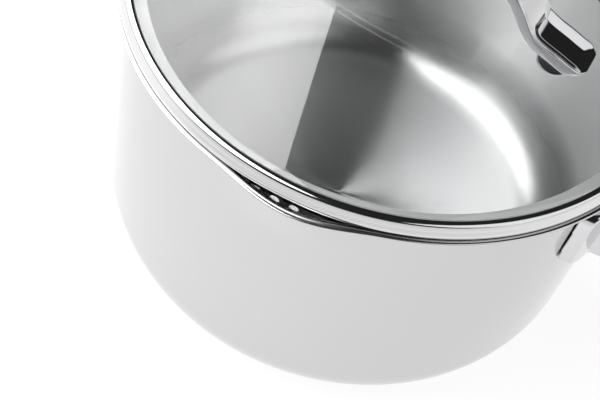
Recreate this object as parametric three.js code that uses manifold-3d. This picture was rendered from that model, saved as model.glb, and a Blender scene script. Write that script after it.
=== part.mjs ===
// Stainless saucepan with a pour-and-strain glass lid. Millimetres, +Z up.
// Origin: centre of the underside of the base. The long handle points along -X,
// the helper handle along +X, and the two pouring lips along -Y and +Y.
import * as THREE from 'three';
import { mergeVertices } from 'three/addons/utils/BufferGeometryUtils.js';
import Module from 'manifold-3d';

const wasm = await Module();
wasm.setup();

// ---- driving dimensions ----
const GAP = 0.3;                 // clearance between pieces that touch
const ROUND_STEPS = 60;          // facets round the pan and the lid
const SMALL_STEPS = 16;          // facets round the fasteners

const BASE_RADIUS = 80;          // flat disc base
const BASE_HEIGHT = 4.6;         // underside of the disc to the pan's own bottom
const CAP_SHEET = 0.6;
const SHEET = 0.9;               // body sheet
const BELLY_RADIUS = 106.25;     // widest outer radius
const CORNER_RADIUS = 25;        // outer corner between bottom and wall
const WALL_LEAN = 2.16;          // degrees the wall leans in towards the top
const LIP_RADIUS = 106.5;        // where the flared lip's edge lies level
const LIP_Z = 128.4;             // height where the flare starts

const SPOUT_REACH = 3.5;         // how far a pouring lip stands out
const SPOUT_HALF_ANGLE = 17;
const SPOUT_START_Z = 108;

const LID_TURN = -6;             // degrees the lid is turned on the pan
const SKIRT_OUTER = 100.9;
const SKIRT_SHEET = 0.8;
const SKIRT_BOTTOM = 119;
const LEDGE_Z = 132.4;           // where the glass seal rests in the rim
const LEDGE_INNER = 95.2;        // inner edge of the ledge under the glass
const HEM_INNER = 100.6;         // how far the rim laps over the glass
const SEAL_INNER = 101;
const GLASS_RADIUS = 102.3;
const GLASS_SHEET = 3.5;
const GLASS_TOP = 145.2;         // crown of the dome
const GLASS_RISE = 8.2;          // dome height over its edge
const STRAIN_HOLE_RADIUS = 1.8;
const STRAIN_HOLE_Z = 124.2;
const STRAIN_HOLES = 3;
const STRAIN_PITCH = 4;          // degrees
const STRAIN_OFFSET = 2;         // degrees the holes sit off the lid handle's square

const LID_STRAP_SHEET = 4.6;
const LID_STRAP_HALF_WIDTH = 9;
const LID_FOOT_TOE = 70;
const LID_SCREW_X = 58.5;
const TRAY_HALF_WIDTH = 4.3;     // floor of the tray in each foot of the strap
const TRAY_START = 51;
const TRAY_END = 66;
const TRAY_DEPTH = 1.5;
const SCREW_RADIUS = 2;
const SCREW_CLEAR = 2.3;         // holes the screw goes through
const SCREW_TOP = 3.4;           // heights in the screw's stack, from the glass's top face
const SPACER_TOP = 0.8;
const GROMMET_FLANGE = 1.3;
const WASHER_TOP = -GLASS_SHEET - GROMMET_FLANGE - 2 * GAP;

const FOOT_SHEET = 4.4;          // plates of the pan's handles on the wall
const FOOT_BOTTOM = 95;
const FOOT_TOP = 126;
const HELPER_FOOT_OUTER = 32.5;  // degrees off the handle's middle
const HELPER_FOOT_INNER = 14;
const HELPER_RIVET_ANGLE = 21;
const HELPER_REACH = 146;
const LONG_HANDLE_END = 292;
const RIVET_SHANK = 2.8;

const COLOURS = {
  body: [0xc9cacb, 0.22, 1], polished: [0xd8d8d9, 0.08, 1], brushed: [0xb4b5b6, 0.35, 1],
  aluminium: [0xbfc1c4, 0.5, 1], glass: [0xe8eeee, 0.02, 0], silicone: [0x2b2c2e, 0.7, 0],
};

// ---- small helpers ----
const rad = THREE.MathUtils.degToRad;
const v2 = (x, y) => new THREE.Vector2(x, y);

function arc(cx, cy, radius, from, to, steps) {
  return Array.from({ length: steps + 1 }, (_, i) => {
    const angle = rad(from + (to - from) * i / steps);
    return v2(cx + radius * Math.cos(angle), cy + radius * Math.sin(angle));
  });
}

// A solid of revolution about Z from (radius, height) points that run counter-clockwise.
function revolve(points, steps = ROUND_STEPS) {
  const geometry = new THREE.LatheGeometry(points, steps);
  return geometry.rotateX(Math.PI / 2);
}

function closedRing(points, steps = ROUND_STEPS) {
  return revolve([...points, points[0]], steps);
}

// An outline in X and Y, extruded up from z0 to z1.
function upright(points, z0, z1) {
  const geometry = new THREE.ExtrudeGeometry(new THREE.Shape(points), {
    depth: z1 - z0, bevelEnabled: false,
  });
  return geometry.translate(0, 0, z0);
}

// An outline in X and Z, extruded along Y from -half to +half.
function sideways(points, half) {
  const geometry = new THREE.ExtrudeGeometry(new THREE.Shape(points), {
    depth: 2 * half, bevelEnabled: false,
  });
  return geometry.translate(0, 0, -half).rotateX(Math.PI / 2);
}

function toSolid(geometry) {
  geometry.deleteAttribute('normal');
  geometry.deleteAttribute('uv');
  const merged = mergeVertices(geometry, 1e-4);
  const solid = new wasm.Manifold(new wasm.Mesh({
    numProp: 3,
    vertProperties: new Float32Array(merged.attributes.position.array),
    triVerts: new Uint32Array(merged.index.array),
  }));
  return solid;
}

function toGeometry(solid) {
  const mesh = solid.getMesh();
  const geometry = new THREE.BufferGeometry();
  geometry.setAttribute('position', new THREE.BufferAttribute(mesh.vertProperties, 3));
  geometry.setIndex(new THREE.BufferAttribute(mesh.triVerts, 1));
  return geometry;
}

function rod(radius, length, steps = SMALL_STEPS) {
  return new THREE.CylinderGeometry(radius, radius, length, steps).rotateX(Math.PI / 2);
}

function piece(name, geometry, look) {
  const [color, roughness, metalness] = COLOURS[look];
  const material = new THREE.MeshStandardMaterial({ color, roughness, metalness });
  const mesh = new THREE.Mesh(geometry, material);
  mesh.name = name;
  return mesh;
}

// A band of even thickness that follows a smooth line through (x, z) points.
function band(points, thickness, steps) {
  const line = new THREE.SplineCurve(points);
  const upper = [];
  const lower = [];
  for (let i = 0; i <= steps; i += 1) {
    const at = line.getPointAt(i / steps);
    const along = line.getTangentAt(i / steps);
    const across = v2(-along.y, along.x).multiplyScalar(thickness / 2);
    upper.push(at.clone().add(across));
    lower.push(at.clone().sub(across));
  }
  return [...lower, ...upper.reverse()];
}

function mirrorX(points) {
  return points.map((p) => v2(-p.x, p.y)).reverse();
}

// ---- pan body ----
const CORNER_Z = BASE_HEIGHT + CORNER_RADIUS;
const CORNER_X = BELLY_RADIUS - CORNER_RADIUS;

function wallRadius(z) {
  const start = CORNER_Z + CORNER_RADIUS * Math.sin(rad(WALL_LEAN));
  const radius = CORNER_X + CORNER_RADIUS * Math.cos(rad(WALL_LEAN));
  return radius - (z - start) * Math.tan(rad(WALL_LEAN));
}

// Pushes the top of the wall outwards at the two pouring lips.
function formSpouts(geometry) {
  const at = geometry.attributes.position;
  for (let i = 0; i < at.count; i += 1) {
    const [x, y, z] = [at.getX(i), at.getY(i), at.getZ(i)];
    const off = THREE.MathUtils.radToDeg(Math.atan2(Math.abs(x), Math.abs(y)));
    if (z > SPOUT_START_Z && off < SPOUT_HALF_ANGLE) {
      const across = Math.cos(rad(90 * off / SPOUT_HALF_ANGLE)) ** 2;
      const up = THREE.MathUtils.smoothstep(z, SPOUT_START_Z, LIP_Z + 2);
      const scale = 1 + SPOUT_REACH * across * up / Math.hypot(x, y);
      at.setXY(i, x * scale, y * scale);
    }
  }
  return geometry;
}

function wallPoints(offset) {
  const top = LIP_Z - 0.6;
  return [0.35, 0.7, 0.86, 1].map((t) => {
    const z = THREE.MathUtils.lerp(CORNER_Z + 2, top, t);
    return v2(wallRadius(z) - offset, z);
  });
}

function panBody() {
  const flare = (LIP_RADIUS - wallRadius(LIP_Z)) / Math.cos(rad(WALL_LEAN));
  const flareStart = 180 - WALL_LEAN;
  const profile = [
    v2(0, BASE_HEIGHT),
    ...arc(CORNER_X, CORNER_Z, CORNER_RADIUS, -90, WALL_LEAN, 6),
    ...wallPoints(0),
    ...arc(LIP_RADIUS, LIP_Z, flare, flareStart, 90, 4),
    v2(LIP_RADIUS + SHEET / 2, LIP_Z + flare + SHEET / 2),
    ...arc(LIP_RADIUS, LIP_Z, flare + SHEET, 90, flareStart, 4),
    ...wallPoints(SHEET).reverse(),
    ...arc(CORNER_X, CORNER_Z, CORNER_RADIUS - SHEET, WALL_LEAN, -90, 6),
    v2(0, BASE_HEIGHT + SHEET),
  ];
  return toSolid(formSpouts(revolve(profile)));
}

function baseCore() {
  const bottom = CAP_SHEET + GAP;
  const top = BASE_HEIGHT - GAP;
  const edge = BASE_RADIUS - CAP_SHEET - GAP;
  return revolve([v2(0, bottom), v2(edge - 1, bottom), v2(edge, bottom + 1), v2(edge, top), v2(0, top)]);
}

function baseCap() {
  const top = BASE_HEIGHT - GAP;
  const round = 1.6;
  const inner = BASE_RADIUS - CAP_SHEET;
  return revolve([
    v2(0, 0),
    ...arc(BASE_RADIUS - round, round, round, -90, 0, 3),
    v2(BASE_RADIUS, top),
    v2(inner, top),
    ...arc(BASE_RADIUS - round, round, round - CAP_SHEET, 0, -90, 2),
    v2(0, CAP_SHEET),
  ]);
}

// ---- handles of the pan ----
// The space outside the wall, between two distances from it.
function wallShell(from, to) {
  const z0 = FOOT_BOTTOM - 5;
  const z1 = LIP_Z - 0.8;
  return toSolid(closedRing([
    v2(wallRadius(z0) + from, z0), v2(wallRadius(z0) + to, z0),
    v2(wallRadius(z1) + to, z1), v2(wallRadius(z1) + from, z1),
  ]));
}

// A rounded plate outline in Y and Z, extruded outwards along X.
function footPrism(y0, y1, corner) {
  const [z0, z1] = [FOOT_BOTTOM, FOOT_TOP];
  const outline = [
    ...arc(y1 - corner, z0 + corner, corner, -90, 0, 3),
    ...arc(y1 - corner, z1 - corner, corner, 0, 90, 3),
    ...arc(y0 + corner, z1 - corner, corner, 90, 180, 3),
    ...arc(y0 + corner, z0 + corner, corner, 180, 270, 3),
  ];
  const prism = upright(outline, 60, 130);
  return toSolid(prism.rotateX(Math.PI / 2).rotateZ(Math.PI / 2));
}

// A side view that tapers from the foot plate to the grip: bottom line out, top line back.
function sideProfile(stations) {
  const bottom = stations.map(([x, low]) => v2(x, low));
  const top = stations.map(([x, , high]) => v2(x, high)).reverse();
  return [...bottom, ...top];
}

const WALL_AT_RIVET = wallRadius((FOOT_BOTTOM + FOOT_TOP) / 2);

function rivetPlace(angle, z) {
  const radius = wallRadius(z);
  return { angle, z, radius };
}

// Moves geometry drawn along +X from the wall's outside to a rivet's place, square to the wall.
function onWall(geometry, place) {
  geometry.rotateY(-rad(WALL_LEAN));
  return geometry.translate(place.radius, 0, place.z).rotateZ(rad(place.angle));
}

const HELPER_RIVETS = [-HELPER_RIVET_ANGLE, HELPER_RIVET_ANGLE]
  .map((angle) => rivetPlace(angle, (FOOT_BOTTOM + FOOT_TOP) / 2));
const LONG_RIVETS = [rivetPlace(180 - 8.5, 111.5), rivetPlace(180 + 8.5, 111.5), rivetPlace(180, 102)];

// A rod lying along the radius at a rivet, from r0 to r1 measured from the wall's outside.
function radialRod(place, size, r0, r1) {
  const shaft = rod(size, r1 - r0, 12).rotateY(Math.PI / 2).translate((r0 + r1) / 2, 0, 0);
  return toSolid(onWall(shaft, place));
}

function cutRivetHoles(solid, places) {
  return places.reduce((left, place) => (
    left.subtract(radialRod(place, RIVET_SHANK + GAP, -5, 7))
  ), solid);
}

function helperHandle() {
  const footOuter = WALL_AT_RIVET * Math.sin(rad(HELPER_FOOT_OUTER));
  const footInner = WALL_AT_RIVET * Math.sin(rad(HELPER_FOOT_INNER));
  const shell = wallShell(GAP, GAP + FOOT_SHEET);
  const feet = footPrism(footInner, footOuter, 7).add(footPrism(-footOuter, -footInner, 7)).intersect(shell);
  const outer = new THREE.SplineCurve([
    v2(80, 46), v2(108, 46), v2(124, 42.5), v2(136.5, 32), v2(143.5, 16), v2(HELPER_REACH, 0),
  ]).getPoints(10);
  const inner = new THREE.SplineCurve([
    v2(80, 31), v2(106, 31.5), v2(119, 29), v2(128.5, 20.5), v2(133.4, 10), v2(135, 0),
  ]).getPoints(10);
  const half = [...outer, ...inner.reverse()];
  const mirrored = half.map((p) => v2(p.x, -p.y)).reverse();
  const side = toSolid(sideways(sideProfile([
    [90, 95.5, 125.5], [113, 96, 124.5], [122, 101, 122.5], [132, 106.5, 122],
    [140, 109, 122.5], [HELPER_REACH, 111, 123],
  ]), 50));
  const loop = toSolid(upright(half, 90, 130)).add(toSolid(upright(mirrored, 90, 130))).intersect(side);
  const wall = wallShell(-30, GAP);
  return cutRivetHoles(feet.add(loop).subtract(wall), HELPER_RIVETS);
}

// The long handle is drawn along +X and turned to -X at the end.
function longHandle() {
  const shell = wallShell(GAP, GAP + FOOT_SHEET);
  const foot = footPrism(-28, 28, 9).intersect(shell);
  const edge = new THREE.SplineCurve([
    v2(90, 21), v2(108, 20), v2(126, 14.5), v2(150, 10.5), v2(190, 10.5), v2(240, 12.5), v2(272, 13.5),
  ]).getPoints(14);
  const tip = arc(LONG_HANDLE_END - 13.5, 0, 13.5, 80, -80, 8);
  const plan = [...edge, ...tip, ...edge.map((p) => v2(p.x, -p.y)).reverse()];
  const side = toSolid(sideways(sideProfile([
    [90, 96, 125], [106, 97, 124], [116, 101, 123], [130, 106, 123.5], [150, 112, 126.5],
    [180, 120.5, 133.5], [220, 129.5, 141.5], [260, 134.5, 146], [LONG_HANDLE_END, 136, 146.5],
  ]), 40));
  const opening = toSolid(upright([v2(70, -10), v2(108, -9.5), v2(144, -1.8), ...arc(144, 0, 1.8, -60, 60, 4),
    v2(144, 1.8), v2(108, 9.5), v2(70, 10)], 80, 140));
  const slot = toSolid(upright([...arc(279, 0, 4.5, -90, 90, 6), ...arc(264, 0, 4.5, 90, 270, 6)], 120, 160));
  const arm = toSolid(upright(plan, 90, 160)).intersect(side).subtract(opening).subtract(slot);
  const wall = wallShell(-30, GAP);
  const whole = foot.add(arm).subtract(wall).rotate([0, 0, 180]);
  return cutRivetHoles(whole, LONG_RIVETS);
}

// Domed head inside the pan, shank out through the wall into the handle's root.
function rivet(place) {
  const head = 5.5;
  const inside = -SHEET - 1.7 * GAP;
  const profile = [
    v2(0, inside - 2.2), v2(2.6, inside - 1.9), v2(4.6, inside - 1.1), v2(head, inside),
    v2(RIVET_SHANK, inside), v2(RIVET_SHANK, 6.6), v2(0, 6.6),
  ];
  return onWall(revolve(profile, 14).rotateY(Math.PI / 2), place);
}

// ---- lid ----
function glassTop(r) {
  return GLASS_TOP - GLASS_RISE * (r / GLASS_RADIUS) ** 2;
}

const GLASS_EDGE_TOP = glassTop(GLASS_RADIUS);

function lidRim() {
  const skirtInner = SKIRT_OUTER - SKIRT_SHEET;
  const ring = toSolid(closedRing([
    v2(skirtInner, SKIRT_BOTTOM), v2(SKIRT_OUTER, SKIRT_BOTTOM),
    v2(SKIRT_OUTER, 129.4), v2(101.4, 130.8), v2(102.2, 131.9), v2(103.2, 132.6), v2(104.1, 133),
    v2(104.9, 133.2), v2(105.2, 133.6), v2(105.15, 134.1), v2(104.9, 134.8), v2(104.4, 135.8),
    v2(103.95, 136.8), v2(103.5, 137.6), v2(103, 138), v2(102.5, 138.15), v2(101.8, 138.1),
    v2(101.1, 137.95), v2(HEM_INNER, 137.7), v2(HEM_INNER, glassTop(HEM_INNER) + GAP),
    v2(GLASS_RADIUS + 0.2, GLASS_EDGE_TOP + GAP), v2(GLASS_RADIUS + 0.2, LEDGE_Z),
    v2(LEDGE_INNER, LEDGE_Z), v2(LEDGE_INNER, LEDGE_Z - SKIRT_SHEET),
    v2(skirtInner, LEDGE_Z - SKIRT_SHEET),
  ]));
  const holes = strainHoles();
  return toGeometry(holes.reduce((left, hole) => left.subtract(hole), ring));
}

function strainHoles() {
  const holes = [];
  for (const side of [90, -90]) {
    for (let i = 0; i < STRAIN_HOLES; i += 1) {
      const angle = side + STRAIN_OFFSET + (i - (STRAIN_HOLES - 1) / 2) * STRAIN_PITCH;
      const hole = rod(STRAIN_HOLE_RADIUS, 8, 10).rotateY(Math.PI / 2);
      holes.push(toSolid(hole.translate(SKIRT_OUTER, 0, STRAIN_HOLE_Z).rotateZ(rad(angle))));
    }
  }
  return holes;
}

function washerProfile(inner, outer, z0, z1) {
  return [v2(inner, z0), v2(outer, z0), v2(outer, z1), v2(inner, z1)];
}

function glassSeal() {
  const bottom = LEDGE_Z + 0.2;
  const top = GLASS_EDGE_TOP - GLASS_SHEET - 0.2;
  return closedRing(washerProfile(SEAL_INNER, GLASS_RADIUS, bottom, top));
}

function lidGlass() {
  const radii = [0, 35, 65, 88];
  const under = radii.map((r) => v2(r, glassTop(r) - GLASS_SHEET));
  const over = radii.map((r) => v2(r, glassTop(r))).reverse();
  const round = 0.8;
  const edge = [
    v2(GLASS_RADIUS - round, glassTop(GLASS_RADIUS) - GLASS_SHEET),
    v2(GLASS_RADIUS, glassTop(GLASS_RADIUS) - GLASS_SHEET + round),
    v2(GLASS_RADIUS, GLASS_EDGE_TOP - round),
    v2(GLASS_RADIUS - round, GLASS_EDGE_TOP),
  ];
  const dome = toSolid(revolve([...under, ...edge, ...over]));
  return toGeometry([1, -1].reduce((left, side) => (
    left.subtract(toSolid(placeStack(rod(3.3, 30), side)))
  ), dome));
}

// Puts a fastener's geometry on the glass: local z = 0 is the glass's top face.
const STACK_TILT = Math.atan(2 * GLASS_RISE * LID_SCREW_X / GLASS_RADIUS ** 2);

function placeStack(geometry, side) {
  geometry.rotateY(side * STACK_TILT);
  return geometry.translate(side * LID_SCREW_X, 0, glassTop(LID_SCREW_X));
}

function spacer() {
  return closedRing(washerProfile(SCREW_CLEAR, 3.6, GAP, SPACER_TOP), SMALL_STEPS);
}

function grommet() {
  const seat = -GLASS_SHEET - GAP;
  return closedRing([
    v2(SCREW_CLEAR, seat - GROMMET_FLANGE), v2(6, seat - GROMMET_FLANGE), v2(6, seat),
    v2(3, seat), v2(3, -GAP), v2(SCREW_CLEAR, -GAP),
  ], SMALL_STEPS);
}

function washer() {
  return closedRing(washerProfile(SCREW_CLEAR, 6.2, WASHER_TOP - 0.8, WASHER_TOP), SMALL_STEPS);
}

function screw() {
  const seat = WASHER_TOP - 0.8 - GAP;
  return revolve([
    v2(0, seat - 2.4), v2(2.6, seat - 2.2), v2(4.2, seat - 1.3), v2(4.6, seat), v2(SCREW_RADIUS, seat),
    v2(SCREW_RADIUS, SCREW_TOP), v2(0, SCREW_TOP),
  ], SMALL_STEPS);
}

function lidHandle() {
  const half = [
    v2(12, 170.6), v2(22, 169), v2(29, 167), v2(33.6, 165), v2(37.25, 162.2), v2(39.9, 159.4),
    v2(42.6, 156.3), v2(45.3, 152.9), v2(48.8, 149.9), v2(53.1, 148.2), v2(58.5, 146.8),
    v2(64, 145.2), v2(LID_FOOT_TOE, 143.9),
  ];
  const line = band([...mirrorX(half), v2(0, 171), ...half], LID_STRAP_SHEET, 36);
  const arch = toSolid(sideways(line, 12));
  const corner = 5.5;
  const [tip, side] = [LID_FOOT_TOE - corner, LID_STRAP_HALF_WIDTH - corner];
  const plan = [
    ...arc(tip, side, corner, 90, 0, 4), ...arc(tip, -side, corner, 0, -90, 4),
    ...arc(-tip, -side, corner, -90, -180, 4), ...arc(-tip, side, corner, 180, 90, 4),
  ];
  const strap = arch.intersect(toSolid(upright(plan, 130, 180)));
  return toGeometry([1, -1].reduce((left, end) => {
    const boss = toSolid(placeStack(rod(3.8, 2).translate(0, 0, SPACER_TOP + GAP + 1), end));
    const thread = toSolid(placeStack(rod(SCREW_CLEAR, 7).translate(0, 0, SCREW_TOP - 3), end));
    return left.add(boss).subtract(tray(end)).subtract(toeCut(end)).subtract(thread);
  }, strap));
}

// The underside of the foot rises towards its toe.
function toeCut(end) {
  const wedge = sideways([v2(63.3, 142.9), v2(66, 138), v2(74, 138), v2(74, 147), v2(71, 145.8)], 12);
  if (end < 0) {
    wedge.rotateZ(Math.PI);
  }
  return toSolid(wedge);
}

// The shallow tray with sloping sides in each foot of the strap.
function tray(end) {
  const slope = Math.atan2(148.2 - 145.2, 64 - 53.1);
  const [length, width] = [TRAY_END - TRAY_START, 2 * TRAY_HALF_WIDTH];
  const block = new THREE.BoxGeometry(length, width, 4);
  const at = block.attributes.position;
  for (let i = 0; i < at.count; i += 1) {
    if (at.getZ(i) > 0) {
      at.setXY(i, at.getX(i) * (1 + 18 / length), at.getY(i) * (1 + 18 / width));
    }
  }
  const [x, z] = [(TRAY_START + TRAY_END) / 2, 146.7 + LID_STRAP_SHEET / 2 - TRAY_DEPTH];
  block.translate(0, 0, 2).rotateY(slope).translate(x, 0, z);
  if (end < 0) {
    block.rotateZ(Math.PI);
  }
  return toSolid(block);
}

// ---- assembly ----
const saucepan = new THREE.Group();
saucepan.add(piece('pan_body', toGeometry(cutRivetHoles(panBody(), [...HELPER_RIVETS, ...LONG_RIVETS])), 'body'));
saucepan.add(piece('base_core', baseCore(), 'aluminium'));
saucepan.add(piece('base_cap', baseCap(), 'brushed'));
saucepan.add(piece('helper_handle', toGeometry(helperHandle()), 'polished'));
saucepan.add(piece('long_handle', toGeometry(longHandle()), 'polished'));
HELPER_RIVETS.forEach((place, i) => saucepan.add(piece(`helper_rivet_${i + 1}`, rivet(place), 'brushed')));
LONG_RIVETS.forEach((place, i) => saucepan.add(piece(`long_rivet_${i + 1}`, rivet(place), 'brushed')));

const lid = new THREE.Group();
lid.rotation.z = rad(LID_TURN);
lid.add(piece('lid_rim', lidRim(), 'polished'));
lid.add(piece('lid_seal', glassSeal(), 'silicone'));
lid.add(piece('lid_glass', lidGlass(), 'glass'));
lid.add(piece('lid_handle', lidHandle(), 'polished'));
[1, -1].forEach((side, i) => {
  const label = i + 1;
  lid.add(piece(`lid_spacer_${label}`, placeStack(spacer(), side), 'silicone'));
  lid.add(piece(`lid_grommet_${label}`, placeStack(grommet(), side), 'silicone'));
  lid.add(piece(`lid_washer_${label}`, placeStack(washer(), side), 'brushed'));
  lid.add(piece(`lid_screw_${label}`, placeStack(screw(), side), 'brushed'));
});
saucepan.add(lid);

export default saucepan;
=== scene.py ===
# Looks of the saucepan with a glass lid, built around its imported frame.
# Outlines are in millimetres, in the frame of the CAD part, and meshes are in metres.
import math

import bmesh
import bpy
from mathutils import Matrix, Vector

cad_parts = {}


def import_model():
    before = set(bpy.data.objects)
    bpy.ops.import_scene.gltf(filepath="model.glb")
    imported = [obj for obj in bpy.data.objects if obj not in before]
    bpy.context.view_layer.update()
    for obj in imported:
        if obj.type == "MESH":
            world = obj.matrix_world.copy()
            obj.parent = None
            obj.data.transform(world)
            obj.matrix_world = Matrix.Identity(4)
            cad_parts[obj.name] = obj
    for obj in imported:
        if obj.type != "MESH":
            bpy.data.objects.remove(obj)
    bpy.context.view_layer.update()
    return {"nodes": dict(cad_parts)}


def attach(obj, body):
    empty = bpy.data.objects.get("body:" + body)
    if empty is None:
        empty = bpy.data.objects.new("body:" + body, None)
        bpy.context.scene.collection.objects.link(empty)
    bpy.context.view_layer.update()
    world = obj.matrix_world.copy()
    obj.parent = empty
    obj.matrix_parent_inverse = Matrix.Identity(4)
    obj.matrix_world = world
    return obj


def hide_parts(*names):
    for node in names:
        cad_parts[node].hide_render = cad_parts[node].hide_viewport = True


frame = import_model()

MM = 0.001

# ---- driving dimensions, in millimetres ----
GAP = 0.3  # between pieces that touch
ROUND_STEPS = 240  # segments round a large turned piece
SMALL_STEPS = 64  # and round a small one
HOLE_STEPS = 32

# the pan
BASE_RADIUS = 80
BASE_HEIGHT = 4.6
CAP_SHEET = 0.6
SHEET = 0.9
BELLY_RADIUS = 106.25  # where the bottom corner meets the wall
CORNER_RADIUS = 25
CORNER_X = BELLY_RADIUS - CORNER_RADIUS
CORNER_Z = BASE_HEIGHT + CORNER_RADIUS
WALL_LEAN = math.radians(2.16)  # the wall leans in towards the top
LIP_RADIUS = 106.5  # middle of the flare's arc
LIP_Z = 128.4
SPOUT_REACH = 3.5
SPOUT_HALF_ANGLE = 17
SPOUT_START_Z = 108

# its handles
FOOT_SHEET = 4.4
FOOT_BOTTOM = 95
FOOT_TOP = 126
HELPER_FOOT_OUTER = 32.5  # degrees off the middle of the handle
HELPER_FOOT_INNER = 14
HELPER_REACH = 146
LONG_HANDLE_END = 292
RIVET_SHANK = 2.8
RIVET_Z = (FOOT_BOTTOM + FOOT_TOP) / 2
HELPER_RIVETS = [(-21, RIVET_Z), (21, RIVET_Z)]  # each an angle in degrees and a height
LONG_RIVETS = [(171.5, 111.5), (188.5, 111.5), (180, 102)]

# the lid's rim and glass
LID_TURN = math.radians(-6)
SKIRT_OUTER = 100.9
SKIRT_INNER = 100.1
SKIRT_BOTTOM = 119
SKIRT_TOP = 126
LEDGE_Z = 132.4
LEDGE_INNER = 95.2
HEM_INNER = 100.6
SEAL_INNER = 101
GLASS_RADIUS = 102.3
GLASS_SHEET = 3.5
GLASS_TOP = 145.2
GLASS_RISE = 8.2
GLASS_HOLE = 3.3
STRAIN_HOLE_RADIUS = 1.8
STRAIN_HOLE_Z = 124.2
STRAIN_ANGLES = (-92, -88, -84, 88, 92, 96)

# its strap
STRAP_SHEET = 4.6
STRAP_HALF_WIDTH = 9
STRAP_TOE = 70  # where a foot ends, from the middle of the lid
TRAY_HALF_WIDTH = 4.3
TRAY_START = 49
TRAY_END = 66
TRAY_DEPTH = 1.5

# what fastens the strap: heights are from the top face of the glass
SCREW_X = 58.5
SCREW_CLEAR = 2.3  # radius of the holes round the screw
SCREW_TOP = 3.4
SPACER_TOP = 0.8
GROMMET_FLANGE = 1.3
WASHER_SHEET = 0.8
WASHER_TOP = -GLASS_SHEET - GROMMET_FLANGE - 2 * GAP
STACK_TILT = math.atan(2 * GLASS_RISE * SCREW_X / GLASS_RADIUS ** 2)

# the camera's line of sight, seen from above
VIEW_AZIMUTH = math.radians(100.4)


# ---- outlines ----
def arc(cx, cy, radius, start, end, steps):
    """Points of an arc from one angle to another, in degrees."""
    points = []
    for i in range(steps + 1):
        angle = math.radians(start + (end - start) * i / steps)
        points.append((cx + radius * math.cos(angle), cy + radius * math.sin(angle)))
    return points


def softened(corners, steps=5):
    """A closed outline from (x, y, reach) corners, each rounded over its reach along both sides."""
    outline = []
    for i, (x, y, reach) in enumerate(corners):
        here = Vector((x, y))
        before = Vector(corners[i - 1][:2]) - here
        after = Vector(corners[(i + 1) % len(corners)][:2]) - here
        start = here + before.normalized() * min(reach, 0.45 * before.length)
        end = here + after.normalized() * min(reach, 0.45 * after.length)
        if reach <= 0:
            outline.append((x, y))
            continue
        for k in range(steps + 1):
            t = k / steps
            point = start * (1 - t) ** 2 + here * (2 * t * (1 - t)) + end * t ** 2
            outline.append((point.x, point.y))
    return outline


def spline(points, steps):
    """Points of a Catmull-Rom curve through the given ones, with steps pieces to each span."""
    curve = []
    last = len(points) - 1
    for i in range(last):
        p0, p1 = Vector(points[max(i - 1, 0)]), Vector(points[i])
        p2, p3 = Vector(points[i + 1]), Vector(points[min(i + 2, last)])
        for k in range(steps):
            t = k / steps
            point = p1 + (p2 - p0) * (t / 2)
            point += (p0 * 2 - p1 * 5 + p2 * 4 - p3) * (t * t / 2)
            point += (p1 * 3 - p0 - p2 * 3 + p3) * (t ** 3 / 2)
            curve.append(tuple(point))
    curve.append(tuple(points[last]))
    return curve


def value_at(table, x):
    """The value at x in a table of (x, value) points, along a straight line between two of them."""
    for (x0, y0), (x1, y1) in zip(table, table[1:]):
        if x <= x1:
            return y0 + (y1 - y0) * max(x - x0, 0) / (x1 - x0)
    return table[-1][1]


def smoothstep(x, low, high):
    """0 up to low, 1 from high on, and a soft rise between them."""
    t = min(max((x - low) / (high - low), 0), 1)
    return t * t * (3 - 2 * t)


def wall_radius(z):
    """The outer radius of the pan's wall at a height."""
    start = CORNER_Z + CORNER_RADIUS * math.sin(WALL_LEAN)
    radius = CORNER_X + CORNER_RADIUS * math.cos(WALL_LEAN)
    return radius - (z - start) * math.tan(WALL_LEAN)


def glass_top(radius):
    """The height of the glass's top face at a distance from the middle."""
    return GLASS_TOP - GLASS_RISE * (radius / GLASS_RADIUS) ** 2


# ---- meshes ----
def lathe(outline, segments=ROUND_STEPS, looks=None):
    """Turns a closed (radius, height) outline about Z. Points on the axis become poles.
    looks gives the material index of each side of the outline."""
    shape = bmesh.new()
    rings = []
    for radius, height in outline:
        count = 1 if radius < 1e-6 else segments
        ring = []
        for k in range(count):
            angle = 2 * math.pi * k / segments
            x, y = radius * math.cos(angle), radius * math.sin(angle)
            ring.append(shape.verts.new((x, y, height)))
        rings.append(ring)
    for i, ring in enumerate(rings):
        following = rings[(i + 1) % len(rings)]
        if len(ring) == 1 and len(following) == 1:
            continue
        for k in range(segments):
            near, far = k % len(ring), (k + 1) % len(ring)
            corners = [ring[near], following[k % len(following)]]
            corners += [following[(k + 1) % len(following)], ring[far]]
            face = shape.faces.new(list(dict.fromkeys(corners)))
            face.material_index = looks[i] if looks else 0
    return shape


def bridge(shape, ring, following):
    """Joins two rings of as many points with a band of faces."""
    for k in range(len(ring)):
        nearest = (k + 1) % len(ring)
        shape.faces.new([ring[k], ring[nearest], following[nearest], following[k]])


def grid_tube(sections):
    """Joins closed sections, each a list of points, into a tube with flat ends."""
    shape = bmesh.new()
    rings = [[shape.verts.new(point) for point in section] for section in sections]
    for ring, following in zip(rings, rings[1:]):
        bridge(shape, ring, following)
    shape.faces.new(rings[0])
    shape.faces.new(list(reversed(rings[-1])))
    return shape


def prism(outline, low, high):
    """An outline in X and Y between two heights."""
    return grid_tube([[(x, y, z) for x, y in outline] for z in (low, high)])


def rod(radius, low, high):
    """A round cutter about Z."""
    return lathe([(0, low), (radius, low), (radius, high), (0, high)], HOLE_STEPS)


def moved(shape, *steps):
    """Applies one transform after another."""
    for step in steps:
        bmesh.ops.transform(shape, matrix=step, verts=shape.verts)
    return shape


def turn(angle, axis):
    return Matrix.Rotation(angle, 4, axis)


def shift(x, y, z):
    return Matrix.Translation((x, y, z))


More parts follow.
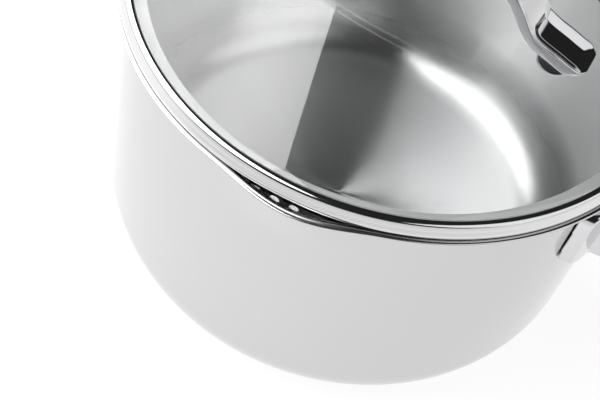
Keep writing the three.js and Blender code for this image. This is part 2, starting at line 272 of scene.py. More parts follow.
def to_object(name, shape):
    """Makes an object in metres of a shape in millimetres."""
    bmesh.ops.recalc_face_normals(shape, faces=shape.faces)
    bmesh.ops.scale(shape, vec=(MM, MM, MM), verts=shape.verts)
    for face in shape.faces:
        face.smooth = True
    mesh = bpy.data.meshes.new(name)
    shape.to_mesh(mesh)
    shape.free()
    made = bpy.data.objects.new(name, mesh)
    bpy.context.scene.collection.objects.link(made)
    return made


def apply_modifiers(made):
    """Turns an object's modifiers into plain mesh."""
    bpy.context.view_layer.update()
    graph = bpy.context.evaluated_depsgraph_get()
    mesh = bpy.data.meshes.new_from_object(made.evaluated_get(graph))
    made.modifiers.clear()
    made.data = mesh
    mesh.polygons.foreach_set("use_smooth", [True] * len(mesh.polygons))
    return made


def cut(made, cutters):
    """Takes the cutters, shapes in millimetres, out of an object."""
    tools = [to_object("cutter", shape) for shape in cutters]
    for tool in tools:
        modifier = made.modifiers.new("cut", "BOOLEAN")
        modifier.operation = "DIFFERENCE"
        modifier.solver = "EXACT"
        modifier.object = tool
    apply_modifiers(made)
    for tool in tools:
        bpy.data.objects.remove(tool)
    return made


def fused(name, pieces, voxel, smoothing):
    """Joins overlapping objects into one skin with softly rounded edges, as on a casting."""
    joined = bmesh.new()
    for one in pieces:
        joined.from_mesh(one.data)
        bpy.data.objects.remove(one)
    mesh = bpy.data.meshes.new(name)
    joined.to_mesh(mesh)
    joined.free()
    made = bpy.data.objects.new(name, mesh)
    bpy.context.scene.collection.objects.link(made)
    remesh = made.modifiers.new("skin", "REMESH")
    remesh.mode = "VOXEL"
    remesh.voxel_size = voxel * MM
    remesh.use_smooth_shade = True
    smooth = made.modifiers.new("soften", "SMOOTH")
    smooth.factor = 0.5
    smooth.iterations = smoothing
    return apply_modifiers(made)


def finish_piece(made, node, body, materials, crease=None):
    """Gives a piece its materials, node and body. Edges over the crease angle stay sharp."""
    made.name = node + "_fine"
    made.data.name = made.name
    indices = [0] * len(made.data.polygons)
    made.data.polygons.foreach_get("material_index", indices)
    made.data.materials.clear()
    for material in materials:
        made.data.materials.append(material)
    made.data.polygons.foreach_set("material_index", indices)
    if crease:
        made.data.set_sharp_from_angle(angle=math.radians(crease))
    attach(made, body)
    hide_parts(node)


# ---- materials ----
def grey(level):
    """A neutral colour."""
    return (level, level, level)


def shade(colour, factor):
    """A colour made darker or lighter."""
    return tuple(min(c * factor, 1) for c in colour)


def new_material(name, colour, metallic, roughness):
    """A material with its node tree and its shader."""
    material = bpy.data.materials.new(name)
    material.use_nodes = True
    shader = material.node_tree.nodes["Principled BSDF"]
    shader.inputs["Base Color"].default_value = (*colour, 1)
    shader.inputs["Metallic"].default_value = metallic
    shader.inputs["Roughness"].default_value = roughness
    return material, material.node_tree, shader


def add(tree, kind, **inputs):
    """Adds a node with values at its inputs: To_Min is the input named To Min."""
    node = tree.nodes.new(kind)
    for name, value in inputs.items():
        node.inputs[name.replace("_", " ")].default_value = value
    return node


def math_node(tree, operation, first, second=None):
    """A Math node on numbers or on the outputs of other nodes."""
    node = tree.nodes.new("ShaderNodeMath")
    node.operation = operation
    for socket, value in zip(node.inputs, (first, second)):
        if hasattr(value, "is_output"):
            tree.links.new(value, socket)
        elif value is not None:
            socket.default_value = value
    return node.outputs[0]


def varied(tree, source, low, high, socket):
    """Feeds a 0 to 1 pattern to a socket, between two values."""
    spread = add(tree, "ShaderNodeMapRange", To_Min=low, To_Max=high)
    tree.links.new(source, spread.inputs["Value"])
    tree.links.new(spread.outputs["Result"], socket)


def varied_colour(tree, source, dark, light, socket):
    """Feeds a 0 to 1 pattern to a colour socket, between two colours."""
    mix = tree.nodes.new("ShaderNodeMix")
    mix.data_type = "RGBA"
    mix.inputs[6].default_value = (*dark, 1)
    mix.inputs[7].default_value = (*light, 1)
    tree.links.new(source, mix.inputs[0])
    tree.links.new(mix.outputs[2], socket)


def bumped(tree, source, strength, distance, shader):
    """Raises a surface by a pattern, in its shading only."""
    bump = add(tree, "ShaderNodeBump", Strength=strength, Distance=distance)
    tree.links.new(source, bump.inputs["Height"])
    tree.links.new(bump.outputs["Normal"], shader.inputs["Normal"])


def noise(tree, scale, detail=3, vector=None):
    """A noise pattern in the object's own coordinates, or in those given."""
    node = add(tree, "ShaderNodeTexNoise", Scale=scale, Detail=detail)
    if vector is None:
        vector = add(tree, "ShaderNodeTexCoord").outputs["Object"]
    tree.links.new(vector, node.inputs["Vector"])
    return node.outputs["Fac"]


def ring_vector(tree, along, across):
    """Coordinates for streaks in circles about Z: fine along the radius, long round the circle."""
    place = tree.nodes.new("ShaderNodeTexCoord")
    split = tree.nodes.new("ShaderNodeSeparateXYZ")
    tree.links.new(place.outputs["Object"], split.inputs[0])
    x, y, z = split.outputs
    radius = math_node(tree, "SQRT", math_node(
        tree, "ADD", math_node(tree, "MULTIPLY", x, x), math_node(tree, "MULTIPLY", y, y)))
    angle = math_node(tree, "ARCTAN2", y, x)
    joined = tree.nodes.new("ShaderNodeCombineXYZ")
    tree.links.new(math_node(tree, "MULTIPLY", radius, along), joined.inputs[0])
    tree.links.new(math_node(tree, "MULTIPLY", angle, across), joined.inputs[1])
    tree.links.new(math_node(tree, "MULTIPLY", z, along), joined.inputs[2])
    return joined.outputs[0]


def polished_steel(name, colour, roughness):
    """Polished steel, with a faint uneven haze."""
    material, tree, shader = new_material(name, colour, 1, roughness)
    haze = noise(tree, 45, 4)
    varied(tree, haze, roughness * 0.7, roughness * 1.35, shader.inputs["Roughness"])
    tint = shader.inputs["Base Color"]
    varied_colour(tree, haze, shade(colour, 0.97), shade(colour, 1.03), tint)
    bumped(tree, noise(tree, 900, 2), 0.02, 0.0002, shader)
    return material


def satin_steel(name, colour, roughness):
    """The outside of the pan: finely brushed round the body, then polished."""
    material, tree, shader = new_material(name, colour, 1, roughness)
    shader.inputs["Anisotropic"].default_value = 0.35
    streaks = noise(tree, 1, 2, ring_vector(tree, 2600, 3))
    varied(tree, streaks, roughness * 0.88, roughness * 1.12, shader.inputs["Roughness"])
    clouds = noise(tree, 12, 3)
    varied_colour(tree, clouds, shade(colour, 0.97), colour, shader.inputs["Base Color"])
    bumped(tree, streaks, 0.03, 0.00005, shader)
    return material


def brushed_round(name, colour, roughness, stretch, depth):
    """Steel brushed in circles about the pan's axis: highlights fan out from the centre."""
    material, tree, shader = new_material(name, colour, 1, roughness)
    shader.inputs["Anisotropic"].default_value = stretch
    shader.inputs["Anisotropic Rotation"].default_value = 0.25
    tangent = tree.nodes.new("ShaderNodeTangent")
    tangent.direction_type = "RADIAL"
    tangent.axis = "Z"
    tree.links.new(tangent.outputs[0], shader.inputs["Tangent"])
    rings = noise(tree, 1, 3, ring_vector(tree, 1500, 5))
    bumped(tree, rings, depth, 0.00006, shader)
    return material, tree, shader, rings


def turned_steel(name, colour, roughness, stretch):
    """Steel with fine turning marks, such as the underside of the base."""
    material, tree, shader, rings = brushed_round(name, colour, roughness, stretch, 0.02)
    varied(tree, rings, roughness * 0.9, roughness * 1.1, shader.inputs["Roughness"])
    tint = shader.inputs["Base Color"]
    varied_colour(tree, rings, shade(colour, 0.94), shade(colour, 1.05), tint)
    return material


def inside_steel(name):
    """The inside of the pan: finely turned on the floor, rougher in the corner and up the wall; its
    colour is darker in the corner as painted shade and lighter up the wall as painted light.
    """
    floor_tone, corner_painted_shade, wall_painted_light = grey(0.57), grey(0.43), grey(0.9)
    floor_roughness, wall_roughness = 0.2, 0.35
    floor_z = BASE_HEIGHT + SHEET
    wall_z = floor_z + 32
    material, tree, shader, _ = brushed_round(name, floor_tone, floor_roughness, 1, 0.5)
    split = tree.nodes.new("ShaderNodeSeparateXYZ")
    tree.links.new(tree.nodes.new("ShaderNodeTexCoord").outputs["Object"], split.inputs[0])
    climb = add(tree, "ShaderNodeMapRange", From_Min=floor_z * MM, From_Max=wall_z * MM)
    tree.links.new(split.outputs[2], climb.inputs["Value"])
    # colour ramp by height: painted shade darkens the corner, painted light lightens the wall
    tone = tree.nodes.new("ShaderNodeValToRGB")
    stops = tone.color_ramp.elements
    stops[0].color = (*floor_tone, 1)
    stops[1].color = (*wall_painted_light, 1)
    stops.new(0.25).color = (*corner_painted_shade, 1)
    tree.links.new(climb.outputs["Result"], tone.inputs["Fac"])
    tree.links.new(tone.outputs["Color"], shader.inputs["Base Color"])
    rough = shader.inputs["Roughness"]
    varied(tree, climb.outputs["Result"], floor_roughness, wall_roughness, rough)
    return material


def clear_glass(name):
    """Clear glass that lets the lamps light what is under it."""
    material, tree, shader = new_material(name, (0.985, 0.99, 0.99), 0, 0.0)
    shader.inputs["IOR"].default_value = 1.5
    shader.inputs["Transmission Weight"].default_value = 1
    smudges = noise(tree, 18, 2)
    varied(tree, smudges, 0.0, 0.012, shader.inputs["Roughness"])
    through = add(tree, "ShaderNodeBsdfTransparent", Color=(0.92, 0.93, 0.93, 1))
    mix = tree.nodes.new("ShaderNodeMixShader")
    tree.links.new(tree.nodes.new("ShaderNodeLightPath").outputs["Is Shadow Ray"], mix.inputs[0])
    tree.links.new(shader.outputs[0], mix.inputs[1])
    tree.links.new(through.outputs[0], mix.inputs[2])
    tree.links.new(mix.outputs[0], tree.nodes["Material Output"].inputs["Surface"])
    return material


def silicone(name):
    """Dark matt silicone."""
    material, tree, shader = new_material(name, (0.03, 0.03, 0.032), 0, 0.6)
    varied(tree, noise(tree, 300, 3), 0.52, 0.68, shader.inputs["Roughness"])
    bumped(tree, noise(tree, 1500, 2), 0.15, 0.0001, shader)
    return material


def raw_aluminium(name):
    """Matt aluminium, as punched."""
    material, tree, shader = new_material(name, (0.74, 0.75, 0.76), 1, 0.5)
    varied(tree, noise(tree, 200, 4), 0.42, 0.6, shader.inputs["Roughness"])
    bumped(tree, noise(tree, 700, 3), 0.2, 0.0001, shader)
    return material


STEEL_OUTSIDE = satin_steel("steel_outside", grey(0.58), roughness=0.14)
STEEL_INSIDE = inside_steel("steel_inside")
STEEL_BASE = turned_steel("steel_base", (0.66, 0.66, 0.67), roughness=0.3, stretch=0.7)
STEEL_POLISHED = polished_steel("steel_polished", (0.64, 0.64, 0.65), roughness=0.06)
STEEL_RIM = polished_steel("steel_rim", grey(0.68), roughness=0.07)
# the rim's steel where it lies under the glass: rougher, and darkened as painted shade
STEEL_LEDGE_PAINTED_SHADE = polished_steel("steel_ledge_painted_shade", grey(0.36), roughness=0.6)
STEEL_FASTENER = polished_steel("steel_fastener", (0.70, 0.70, 0.71), roughness=0.22)
GLASS = clear_glass("lid_glass_clear")
SILICONE = silicone("silicone_dark")
ALUMINIUM = raw_aluminium("aluminium_raw")


# ---- the pan ----
def form_spouts(shape):
    """Pushes the top of the wall outwards at the two pouring lips."""
    for vertex in shape.verts:
        x, y, z = vertex.co
        off = math.degrees(math.atan2(abs(x), abs(y)))
        if z > SPOUT_START_Z and off < SPOUT_HALF_ANGLE:
            across = math.cos(math.radians(90 * off / SPOUT_HALF_ANGLE)) ** 2
            push = SPOUT_REACH * across * smoothstep(z, SPOUT_START_Z, LIP_Z + 2)
            scale = 1 + push / math.hypot(x, y)
            vertex.co = (x * scale, y * scale, z)
    return shape


def wall_line(offset):
    """The straight part of the wall, an offset inside its outer face."""
    low, high = CORNER_Z + 2, LIP_Z - 0.6
    steps = 24
    heights = [low + (high - low) * i / steps for i in range(steps + 1)]
    return [(wall_radius(z) - offset, z) for z in heights]


def pan_body():
    """One drawn shell with a flared edge. The satin finish goes a little way over the edge."""
    lean = math.degrees(WALL_LEAN)
    flare = (LIP_RADIUS - wall_radius(LIP_Z)) / math.cos(WALL_LEAN)
    edge_z = LIP_Z + flare + SHEET / 2
    corner_steps, flare_steps, edge_steps, floor_steps = 18, 12, 8, 8
    outside = [(0, BASE_HEIGHT), (BASE_RADIUS - 6, BASE_HEIGHT)]
    outside += arc(CORNER_X, CORNER_Z, CORNER_RADIUS, -90, lean, corner_steps) + wall_line(0)
    outside += arc(LIP_RADIUS, LIP_Z, flare, 180 - lean, 90, flare_steps)
    inside = arc(LIP_RADIUS, edge_z, SHEET / 2, -90, 90, edge_steps)[1:]
    inside += arc(LIP_RADIUS, LIP_Z, flare + SHEET, 90, 180 - lean, flare_steps)[1:]
    inside += wall_line(SHEET)[::-1]
    inside += arc(CORNER_X, CORNER_Z, CORNER_RADIUS - SHEET, lean, -90, corner_steps)
    for k in reversed(range(floor_steps)):
        inside.append((BASE_RADIUS * k / floor_steps, BASE_HEIGHT + SHEET))
    satin = len(outside) + edge_steps + flare_steps + 6
    looks = [0] * satin + [1] * (len(outside) + len(inside) - satin)
    made = to_object("pan_body", form_spouts(lathe(outside + inside, looks=looks)))
    finish_piece(made, "pan_body", "pan", [STEEL_OUTSIDE, STEEL_INSIDE])


def base_cap():
    """The steel cap under the aluminium core, with a shallow groove in its underside."""
    top = BASE_HEIGHT - GAP
    inner = BASE_RADIUS - CAP_SHEET
    groove = [(58, 0, 0.4), (58.6, 0.35, 0.4), (61.4, 0.35, 0.4), (62, 0, 0.4)]
    rim = [(BASE_RADIUS, 0, 1.9), (BASE_RADIUS, top, 0.2), (inner, top, 0.2)]
    floor_side = [(inner, CAP_SHEET, 1.2), (0, CAP_SHEET, 0)]
    outline = softened([(0, 0, 0)] + groove + rim + floor_side, 6)
    made = to_object("base_cap", lathe(outline))
    finish_piece(made, "base_cap", "pan", [STEEL_BASE], 50)


# ---- handles of the pan ----
def wall_plate(y0, y1, corner):
    """A rounded plate that lies on the wall, between two distances off the handle's middle."""
    z0, z1 = FOOT_BOTTOM, FOOT_TOP
    corners = [(y1, z0, corner), (y1, z1, corner), (y0, z1, corner), (y0, z0, corner)]
    outline = softened(corners, 8)
    centre = Vector(((y0 + y1) / 2, (z0 + z1) / 2))
    shape = bmesh.new()
    layers = []
    for depth in (GAP, GAP + FOOT_SHEET):
        rings = []
        for share in (1, 0.8, 0.6, 0.4, 0.2):
            ring = []
            for point in outline:
                y, z = centre + (Vector(point) - centre) * share
                radius = wall_radius(z) + depth
                ring.append(shape.verts.new((math.sqrt(radius ** 2 - y ** 2), y, z)))
            rings.append(ring)
        layers.append(rings)
    for rings in layers:
        for ring, following in zip(rings, rings[1:]):
            bridge(shape, ring, following)
        shape.faces.new(rings[-1])
    back, front = layers
    bridge(shape, back[0], front[0])
    return to_object("plate", shape)


def rounded_section(centre, across, up, power=5, steps=40):
    """A rounded rectangle about a point, from its two half axes."""
    points = []
    for k in range(steps):
        angle = 2 * math.pi * k / steps
        c, s = math.cos(angle), math.sin(angle)
        u = math.copysign(abs(c) ** (2 / power), c)
        v = math.copysign(abs(s) ** (2 / power), s)
        points.append(centre + across * u + up * v)
    return points


def wall_cutter():
    """The space inside the wall's outer face, which a handle doesn't enter."""
    z0, z1 = FOOT_BOTTOM - 12, LIP_Z + 2
    return lathe([(0, z0), (wall_radius(z0) + GAP, z0), (wall_radius(z1) + GAP, z1), (0, z1)])


def place_on_wall(shape, angle, z):
    """Puts a shape that lies along X, with X = 0 on the wall, at an angle and a height."""
    onto_wall = shift(wall_radius(z), 0, z)
    return moved(shape, turn(-WALL_LEAN, "Y"), onto_wall, turn(math.radians(angle), "Z"))


def rivet_holes(places):
    """A cutter through a handle's foot for each rivet."""
    holes = []
    for place in places:
        hole = moved(rod(RIVET_SHANK + GAP, -5, 7), turn(math.pi / 2, "Y"))
        holes.append(place_on_wall(hole, *place))
    return holes


def helper_handle():
    """A loop drawn from above by its outer and inner edges and from the side by its heights."""
    outer = spline([(80, 46), (108, 46), (124, 42.5), (136.5, 32), (143.5, 16),
                    (HELPER_REACH, 0)], 12)
    inner = spline([(80, 31), (106, 31.5), (119, 29), (128.5, 20.5), (133.4, 10), (135, 0)], 12)
    low = [(90, 95.5), (113, 96), (122, 101), (132, 106.5), (140, 109), (HELPER_REACH, 111)]
    high = [(90, 125.5), (113, 124.5), (122, 122.5), (132, 122), (140, 122.5), (HELPER_REACH, 123)]
    low, high = spline(low, 8), spline(high, 8)
    sections = []
    for side in (1, -1):
        half = []
        for a, b in zip(outer, inner):
            x = (a[0] + b[0]) / 2
            bottom, top = value_at(low, x), value_at(high, x)
            centre = Vector((x, side * (a[1] + b[1]) / 2, (bottom + top) / 2))
            across = Vector((a[0] - b[0], side * (a[1] - b[1]), 0)) / 2
            half.append(rounded_section(centre, across, Vector((0, 0, (top - bottom) / 2))))
        sections += half if side > 0 else half[-2::-1]
    loop = cut(to_object("loop", grid_tube(sections)), [wall_cutter()])
    foot_outer = wall_radius(RIVET_Z) * math.sin(math.radians(HELPER_FOOT_OUTER))
    foot_inner = wall_radius(RIVET_Z) * math.sin(math.radians(HELPER_FOOT_INNER))
    plates = [wall_plate(foot_inner, foot_outer, 7), wall_plate(-foot_outer, -foot_inner, 7)]
    made = fused("helper_handle", [loop] + plates, voxel=0.5, smoothing=6)
    cut(made, rivet_holes(HELPER_RIVETS))
    finish_piece(made, "helper_handle", "pan", [STEEL_POLISHED])


def long_handle():
    """A stick handle with a forked root and a hanging slot, drawn along +X and turned round."""
    tip = 13.5
    tip_steps = 16
    stations = spline([(90, 21), (108, 20), (126, 14.5), (150, 10.5), (190, 10.5), (240, 12.5),
                       (LONG_HANDLE_END - tip, tip)], 16)
    for k in range(1, tip_steps):
        turned = math.radians(90 * k / tip_steps)
        stations.append((LONG_HANDLE_END - tip + tip * math.sin(turned), tip * math.cos(turned)))
    low = spline([(90, 96), (106, 97), (116, 101), (130, 106), (150, 112), (180, 120.5), (220, 129.5),
                  (260, 134.5), (LONG_HANDLE_END, 136)], 12)
    high = spline([(90, 125), (106, 124), (116, 123), (130, 123.5), (150, 126.5), (180, 133.5),
                   (220, 141.5), (260, 146), (LONG_HANDLE_END, 146.5)], 12)
    sections = []
    for x, half in stations:
        bottom, top = value_at(low, x), value_at(high, x)
        squeeze = min(1, 0.55 + 0.45 * half / tip)
        centre = Vector((x, 0, (bottom + top) / 2))
        up = Vector((0, 0, (top - bottom) / 2 * squeeze))
        sections.append(rounded_section(centre, Vector((0, half, 0)), up, power=4))
    arm = to_object("arm", grid_tube(sections))
    fork = [(70, -10), (108, -9.5)] + arc(144, 0, 1.8, -75, 75, 8) + [(108, 9.5), (70, 10)]
    slot = arc(279, 0, 4.5, -90, 90, 12) + arc(264, 0, 4.5, 90, 270, 12)
    cut(arm, [prism(fork, 80, 140), prism(slot, 120, 160), wall_cutter()])
    made = fused("long_handle", [arm, wall_plate(-28, 28, 9)], voxel=0.6, smoothing=6)
    made.data.transform(turn(math.pi, "Z"))
    cut(made, rivet_holes(LONG_RIVETS))
    finish_piece(made, "long_handle", "pan", [STEEL_POLISHED])


def rivet(node, place):
    """Domed head inside the pan, shank out through the wall into the handle's root."""
    inside = -SHEET - 1.7 * GAP
    head = [(0, inside - 2.2), (1.4, inside - 2.15), (2.8, inside - 1.9), (4.1, inside - 1.4),
            (5.1, inside - 0.7), (5.5, inside - 0.2), (5.4, inside)]
    outline = head + [(RIVET_SHANK, inside), (RIVET_SHANK, 6.4), (RIVET_SHANK - 0.3, 6.6), (0, 6.6)]
    shape = place_on_wall(moved(lathe(outline, SMALL_STEPS), turn(math.pi / 2, "Y")), *place)
    finish_piece(to_object(node, shape), node, "pan", [STEEL_FASTENER], 40)


# ---- the lid ----
def on_lid(shape):
    """Turns a shape with the lid, which doesn't lie quite square on the pan."""
    return moved(shape, turn(LID_TURN, "Z"))


def stack(shape, side):
    """Puts a fastener on the glass: its own height 0 is the glass's top face."""
    onto_glass = shift(side * SCREW_X, 0, glass_top(SCREW_X))
    return on_lid(moved(shape, turn(side * STACK_TILT, "Y"), onto_glass))


def lid_rim():
    """One rolled ring: skirt, ledge under the glass, and a bead that laps over the glass."""
    seat = GLASS_RADIUS + 0.2
    ledge_under = LEDGE_Z - SKIRT_OUTER + SKIRT_INNER
    skirt = softened([(SKIRT_INNER, SKIRT_BOTTOM, 0.3), (SKIRT_OUTER, SKIRT_BOTTOM, 0.3),
                      (SKIRT_OUTER, SKIRT_TOP, 0)], 4)[:-1]
    bead = spline([(SKIRT_OUTER, SKIRT_TOP), (SKIRT_OUTER, 129.4), (101.4, 130.8), (102.2, 131.9),
                   (103.2, 132.6), (104.1, 133), (104.9, 133.2), (105.2, 133.6), (105.15, 134.1),
                   (104.9, 134.8), (104.4, 135.8), (103.95, 136.8), (103.5, 137.6), (103, 138),
                   (102.5, 138.15), (101.8, 138.1), (101.1, 137.95), (HEM_INNER, 137.7)], 4)
    inside = [(HEM_INNER, glass_top(HEM_INNER) + GAP), (seat, glass_top(GLASS_RADIUS) + GAP),
              (seat, LEDGE_Z)]
    ledge = softened([(seat, LEDGE_Z, 0), (LEDGE_INNER, LEDGE_Z, 0.3), (LEDGE_INNER, ledge_under, 0.3),
                      (SKIRT_INNER, ledge_under, 0.5), (SKIRT_INNER, SKIRT_BOTTOM, 0)], 4)[1:-1]
    # the faces under the glass take the darkened steel, painted shade
    looks = [0] * (len(skirt) + len(bead)) + [1] * (len(inside) + len(ledge))
    made = to_object("lid_rim", on_lid(lathe(skirt + bead + inside + ledge, 288, looks)))
    holes = []
    for angle in STRAIN_ANGLES:
        onto_skirt = shift(SKIRT_OUTER, 0, STRAIN_HOLE_Z)
        hole = moved(rod(STRAIN_HOLE_RADIUS, -4, 4), turn(math.pi / 2, "Y"), onto_skirt)
        holes.append(on_lid(moved(hole, turn(math.radians(angle), "Z"))))
    cut(made, holes)
    finish_piece(made, "lid_rim", "lid", [STEEL_RIM, STEEL_LEDGE_PAINTED_SHADE], 40)


def lid_seal():
    """The ring that the glass rests on, on the ledge of the rim."""
    glass_under = glass_top(GLASS_RADIUS) - GLASS_SHEET
    low, high = LEDGE_Z + 0.2, glass_under - 0.2
    corners = [(SEAL_INNER, low), (GLASS_RADIUS, low), (GLASS_RADIUS, high), (SEAL_INNER, high)]
    outline = softened([(*corner, 0.3) for corner in corners])
    made = to_object("lid_seal", on_lid(lathe(outline)))
    finish_piece(made, "lid_seal", "lid", [SILICONE], 40)


def lid_glass():
    """A shallow dome with a rounded edge and a hole for each screw."""
    steps = 28
    round_over = 0.9
    radii = [(GLASS_RADIUS - 1) * k / steps for k in range(steps + 1)]
    under = [(r, glass_top(r) - GLASS_SHEET) for r in radii]
    over = [(r, glass_top(r)) for r in reversed(radii)]
    middle = glass_top(GLASS_RADIUS) - GLASS_SHEET / 2
    edge = []
    for degrees in range(-75, 76, 15):
        angle = math.radians(degrees)
        reach = GLASS_RADIUS - round_over + round_over * math.cos(angle)
        edge.append((reach, middle + (GLASS_SHEET / 2 - 0.05) * math.sin(angle)))
    made = to_object("lid_glass", on_lid(lathe(under + edge + over)))
    cut(made, [stack(rod(GLASS_HOLE, -15, 15), side) for side in (1, -1)])
    finish_piece(made, "lid_glass", "lid", [GLASS], 40)


def strap_line():
    """The middle of the strap's sheet, seen from the side, from one toe to the other."""
    half = [(12, 170.6), (22, 169), (29, 167), (33.6, 165), (37.25, 162.2), (39.9, 159.4),
            (42.6, 156.3), (45.3, 152.9), (48.8, 149.9), (53.1, 148.2), (58.5, 146.8),
            (64, 145.2), (STRAP_TOE, 143.9)]
    mirrored = [(-x, z) for x, z in reversed(half)]
    return spline(mirrored + [(0, 171)] + half, 10)


def tray_depth(x, w):
    """The depth of a foot's tray, at distances from the middle of the lid and of the strap."""
    wall = 3.6
    side = (TRAY_HALF_WIDTH + wall - abs(w)) / wall
    toe = (TRAY_END + wall - x) / wall
    sloped = min(max(min(side, toe), 0), 1)
    return TRAY_DEPTH * sloped * smoothstep(x, TRAY_START - 5, TRAY_START + 1.5)


def lid_handle():
    """The arched strap: a grid along its line and across its width, rounded over at every edge."""
    line = strap_line()
    corner, edge = 5.5, 0.8
    thin_from, thin_slope = 63.3, 0.42
    offsets = [0, 0.05, 0.15, 0.3, 0.5, 0.8, 1.1, 1.5, 2.2, 3.0, 3.8, 4.5, 4.9, 5.5, 6.3, 7.3, 8.2]
    sections = []
    for i, (x, z) in enumerate(line):
        before, after = Vector(line[max(i - 1, 0)]), Vector(line[min(i + 1, len(line) - 1)])
        along = (after - before).normalized()
        normal = Vector((-along.y, along.x))
        past = max(abs(x) - (STRAP_TOE - corner), 0)
        half = STRAP_HALF_WIDTH - corner + math.sqrt(max(corner ** 2 - past ** 2, 0.02))
        widths = [half - d * half / STRAP_HALF_WIDTH for d in offsets]
        widths += [0] + [-w for w in reversed(widths)]
        toe = max(STRAP_TOE - abs(x), 0.0)
        upper, lower = [], []
        for w in widths:
            inset = min(half - abs(w), edge, toe)
            drop = edge - math.sqrt(edge ** 2 - (edge - inset) ** 2)
            rise = thin_slope * max(abs(x) - thin_from, 0)
            high = STRAP_SHEET / 2 - drop - tray_depth(abs(x), w)
            low = -STRAP_SHEET / 2 + drop + rise
            high = max(high, low + 0.2)
            upper.append(Vector((x + normal.x * high, w, z + normal.y * high)))
            lower.append(Vector((x + normal.x * low, w, z + normal.y * low)))
        sections.append(upper + lower[::-1])
    made = to_object("lid_handle", on_lid(grid_tube(sections)))
    finish_piece(made, "lid_handle", "lid", [STEEL_POLISHED], 55)


def ring_piece(node, corners, side, material):
    """A ring round a screw, from the corners of its outline."""
    made = to_object(node, stack(lathe(softened(corners), SMALL_STEPS), side))
    finish_piece(made, node, "lid", [material], 40)


def spacer(node, side):
    """The dark stub between the strap's foot and the glass."""
    outer = 3.6
    corners = [(SCREW_CLEAR, GAP, 0.1), (outer, GAP, 0.2), (outer, SPACER_TOP, 0.2),
               (SCREW_CLEAR, SPACER_TOP, 0.1)]
    ring_piece(node, corners, side, SILICONE)


def grommet(node, side):
    """A flange under the glass, and a sleeve in its hole."""
    outer, sleeve = 6, 3
    seat = -GLASS_SHEET - GAP
    low = seat - GROMMET_FLANGE
    corners = [(SCREW_CLEAR, low, 0.1), (outer, low, 0.4), (outer, seat, 0.3), (sleeve, seat, 0.1),
               (sleeve, -GAP, 0.1), (SCREW_CLEAR, -GAP, 0.1)]
    ring_piece(node, corners, side, SILICONE)


def washer(node, side):
    """A steel ring under the grommet."""
    outer = 6.2
    low = WASHER_TOP - WASHER_SHEET
    corners = [(SCREW_CLEAR, low, 0.1), (outer, low, 0.25), (outer, WASHER_TOP, 0.2),
               (SCREW_CLEAR, WASHER_TOP, 0.1)]
    ring_piece(node, corners, side, STEEL_FASTENER)


def screw(node, side):
    """A pan-head screw from under the glass into the strap, with a cross recess in its head."""
    head, shank = 4.6, 2
    seat = WASHER_TOP - WASHER_SHEET - GAP
    outline = softened([(0, seat - 2.4, 0), (2.9, seat - 2.35, 1.2), (head, seat - 0.9, 0.7),
                        (head, seat, 0.1), (shank, seat, 0.1), (shank, SCREW_TOP, 0.3),
                        (0, SCREW_TOP, 0)])
    made = to_object(node, stack(lathe(outline, SMALL_STEPS), side))
    arms = []
    for angle in (0, math.pi / 2):
        arm = prism([(-2.2, -0.45), (2.2, -0.45), (2.2, 0.45), (-2.2, 0.45)], seat - 3, seat - 1.1)
        arms.append(stack(moved(arm, turn(angle + 0.4, "Z")), side))
    cut(made, arms)
    finish_piece(made, node, "lid", [STEEL_FASTENER], 40)


pan_body()
base_cap()
helper_handle()
long_handle()
for number, place in enumerate(HELPER_RIVETS, 1):
    rivet(f"helper_rivet_{number}", place)
for number, place in enumerate(LONG_RIVETS, 1):
    rivet(f"long_rivet_{number}", place)
lid_rim()
lid_seal()
lid_glass()
lid_handle()
for number, side in enumerate((1, -1), 1):
    spacer(f"lid_spacer_{number}", side)
    grommet(f"lid_grommet_{number}", side)
    washer(f"lid_washer_{number}", side)
    screw(f"lid_screw_{number}", side)

# the core is sealed in the base, so its CAD shape stays
core = frame["nodes"]["base_core"]
core.data.materials.clear()
core.data.materials.append(ALUMINIUM)


# ---- stage ----
def floor():
    """A wide pale table that glows a little, as if lit through."""
    tone, spread, glow = 0.22, 0.01, 0.86
    bpy.ops.mesh.primitive_circle_add(vertices=96, radius=8, fill_type="NGON")
    made = bpy.context.object
    made.name = "floor"
    material, tree, shader = new_material("floor_pale", grey(tone), 0, 0.8)
    clouds = noise(tree, 3, 2)
    tint = shader.inputs["Base Color"]
    varied_colour(tree, clouds, grey(tone - spread), grey(tone + spread), tint)
    shader.inputs["Emission Color"].default_value = (1, 1, 1, 1)
    shader.inputs["Emission Strength"].default_value = glow
    made.data.materials.append(material)


def softbox(name, centre, along, down, size, radiance):
    """A rectangular softbox, from its middle, the directions of its two sides and its size."""
    light = bpy.data.lights.new(name, "AREA")
    light.shape = "RECTANGLE"
    light.size, light.size_y = size
    light.energy = radiance * math.pi * size[0] * size[1]
    made = bpy.data.objects.new(name, light)
    bpy.context.scene.collection.objects.link(made)
    normal = along.cross(down)
    if normal.dot(centre) < 0:
        along, normal = -along, -normal
    made.matrix_world = shift(*centre) @ Matrix((along, down, normal)).transposed().to_4x4()


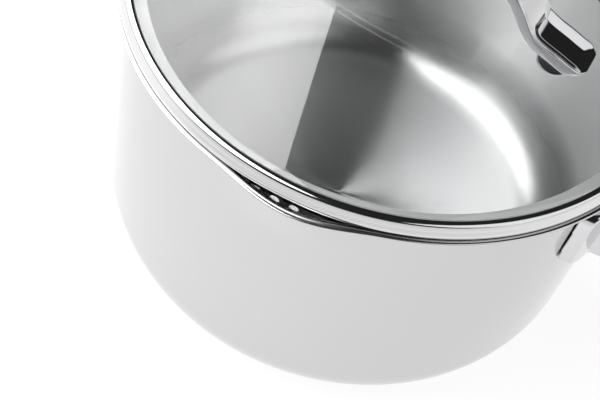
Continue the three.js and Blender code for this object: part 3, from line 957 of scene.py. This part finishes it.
def side_softbox(name, side, edge_offset, height, slope, near, far, width, radiance):
    """A softbox at one side of the camera's line of sight, sloping down and away from its top edge.
    near and far are where it starts and ends along that line, from above the middle of the pan."""
    up = Vector((0, 0, 1))
    along = Vector((math.cos(VIEW_AZIMUTH), math.sin(VIEW_AZIMUTH), 0))
    sideways = along.cross(up) * side
    down = sideways * math.cos(math.radians(slope)) - up * math.sin(math.radians(slope))
    edge = sideways * edge_offset + up * height
    centre = edge + along * (near + far) / 2 + down * width / 2
    softbox(name, centre, along, down, (far - near, width), radiance)


def world(dark, bright):
    """A pale horizon under a dark ceiling. What the camera sees behind the pan is white."""
    made = bpy.data.worlds.new("studio")
    made.use_nodes = True
    tree = made.node_tree
    background = tree.nodes["Background"]
    split = tree.nodes.new("ShaderNodeSeparateXYZ")
    tree.links.new(tree.nodes.new("ShaderNodeTexCoord").outputs["Generated"], split.inputs[0])
    horizon, ceiling = 0.12, 0.4
    level = add(tree, "ShaderNodeMapRange", From_Min=horizon, From_Max=ceiling,
                To_Min=bright, To_Max=dark)
    level.interpolation_type = "SMOOTHSTEP"
    tree.links.new(split.outputs[2], level.inputs["Value"])
    seen = tree.nodes.new("ShaderNodeLightPath").outputs["Is Camera Ray"]
    strength = math_node(tree, "MAXIMUM", level.outputs["Result"], seen)
    tree.links.new(strength, background.inputs["Strength"])
    background.inputs["Color"].default_value = (1, 1, 1, 1)
    bpy.context.scene.world = made


def camera():
    """The camera, in metres, at the viewing angle of the picture."""
    lens = 61.118
    place = (0.034844, -0.283781, 0.392883)
    right = Vector((0.903817, 0.396715, 0.160412)).normalized()
    forward = Vector((-0.104699, 0.568484, -0.816005)).normalized()
    data = bpy.data.cameras.new("camera")
    data.lens = lens
    data.sensor_width = 36
    data.clip_start = 0.01
    made = bpy.data.objects.new("camera", data)
    bpy.context.scene.collection.objects.link(made)
    turned = Matrix((right, right.cross(forward), -forward)).transposed()
    made.matrix_world = shift(*place) @ turned.to_4x4()
    bpy.context.scene.camera = made


floor()
camera()
world(dark=0.02, bright=0.9)
side_softbox("left_box", side=-1, edge_offset=0.12, height=1.14, slope=35,
             near=-0.5, far=1.1, width=1.2, radiance=4.2)
side_softbox("right_box", side=1, edge_offset=0.35, height=1.1, slope=40,
             near=-0.8, far=0.2, width=1.0, radiance=1.1)
bpy.context.scene.view_settings.view_transform = "Standard"
